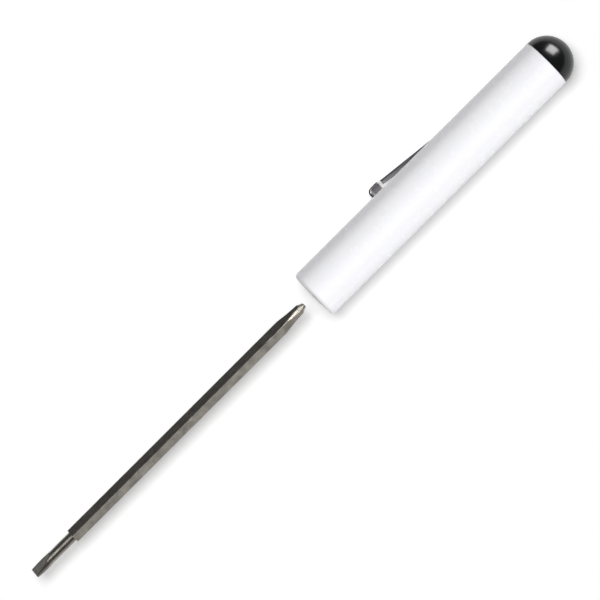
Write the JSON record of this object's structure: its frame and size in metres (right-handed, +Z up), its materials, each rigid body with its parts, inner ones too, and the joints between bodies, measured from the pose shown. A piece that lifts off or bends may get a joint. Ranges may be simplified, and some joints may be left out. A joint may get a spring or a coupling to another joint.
{
  "type": "pocket screwdriver",
  "caption": "Pen-shaped pocket screwdriver: white barrel with a domed black cap, a spring clip and a square blade with a cross tip and a slotted tip.",
  "frame": {"origin": "middle of the part's footprint, on the surface it lies on; the handle's axis is at y = -1.663 mm, z = 6 mm and the mouth at x = 3.65 mm", "axes": "+X along the handle towards the domed cap, +Z up, +Y towards the side that the pocket clip is on"},
  "size_m": [0.1636, 0.0154, 0.012],
  "materials": {
    "white_barrel": "glossy moulded white",
    "black_cap": "glossy moulded black",
    "socket_plastic": "as-moulded natural",
    "spring_steel": "rolled strip",
    "clip_plating": "plated strip",
    "blade_plating": "dark nickel plate over drawn bar"
  },
  "bodies": {
    "handle": {"barrel": "white_barrel", "end_cap": "black_cap", "blade_socket": "socket_plastic", "retaining_spring": "spring_steel"},
    "clip": {"pocket_clip": "clip_plating"},
    "blade": {"blade": "blade_plating"}
  },
  "joints": [
    {"name": "blade_slide", "type": "slide", "parent": "handle", "child": "blade", "axis": [1, 0, 0], "range_m": [0, 0.0434]},
    {"name": "clip_flex", "type": "hinge", "parent": "handle", "child": "clip", "pos_m": [0.07485, 0.00343, 0.00323], "axis": [0, -0.4778, -0.8785], "range_deg": [0, 4], "stiffness_Nm_per_rad": 0.5}
  ]
}
